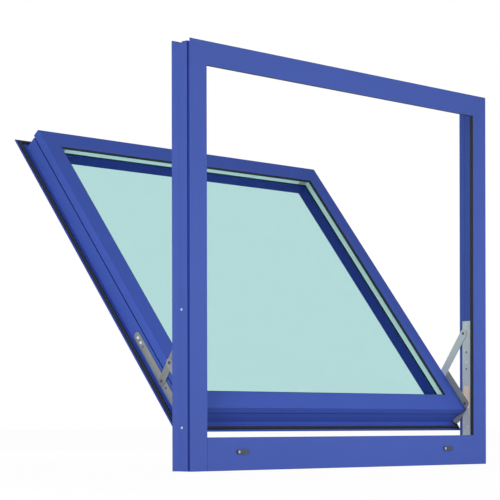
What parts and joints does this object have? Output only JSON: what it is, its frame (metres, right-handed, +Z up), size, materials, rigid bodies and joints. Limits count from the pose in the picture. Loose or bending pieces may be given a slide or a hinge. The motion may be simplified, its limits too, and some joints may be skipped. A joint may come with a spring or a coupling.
{
  "type": "top swing window",
  "caption": "Blue aluminium top swing window: frame with lip and sill, double-glazed sash leaning open on friction stays with slotted drains in the sill.",
  "frame": {"origin": "middle of the sill's flat underside, at half the frame's length and half its depth", "axes": "+X along the sill to the right as seen from the front, +Y from the front face to the back where the sash leans out, +Z up"},
  "size_m": [1.028, 0.5886, 0.9],
  "materials": {
    "bead_coat": "blue powder coat, satin",
    "drain_cover": "dark moulded plastic",
    "frame_coat": "blue powder coat, satin",
    "frame_seal": "matt black rubber",
    "glazing_seal": "matt black rubber",
    "spacer": "mill finish aluminium spacer",
    "glass": "clear float glass, pale green",
    "sash_coat": "blue powder coat, satin",
    "sash_seal": "matt black rubber",
    "stay_steel": "satin stainless steel",
    "stay_shoe": "tan moulded plastic",
    "stay_track": "satin stainless steel"
  },
  "bodies": {
    "root": {"bead_bottom": "bead_coat", "bead_left": "bead_coat", "bead_right": "bead_coat", "bead_top": "bead_coat", "drain_cover_left": "drain_cover", "drain_cover_right": "drain_cover", "frame_head": "frame_coat", "frame_left_jamb": "frame_coat", "frame_right_jamb": "frame_coat", "frame_seal": "frame_seal", "frame_sill": "frame_coat", "glazing_seal_back": "glazing_seal", "glazing_seal_front": "glazing_seal", "glazing_spacer": "spacer", "inner_pane": "glass", "outer_pane": "glass", "sash_bottom_rail": "sash_coat", "sash_left_stile": "sash_coat", "sash_right_stile": "sash_coat", "sash_seal": "sash_seal", "sash_top_rail": "sash_coat", "stay_arm_left": "stay_steel", "stay_arm_right": "stay_steel", "stay_bar_left": "stay_steel", "stay_bar_right": "stay_steel", "stay_foot_arm_left": "stay_steel", "stay_foot_arm_right": "stay_steel", "stay_link_left": "stay_steel", "stay_link_right": "stay_steel", "stay_shoe_left": "stay_shoe", "stay_shoe_right": "stay_shoe", "stay_track_left": "stay_track", "stay_track_right": "stay_track"}
  },
  "joints": []
}
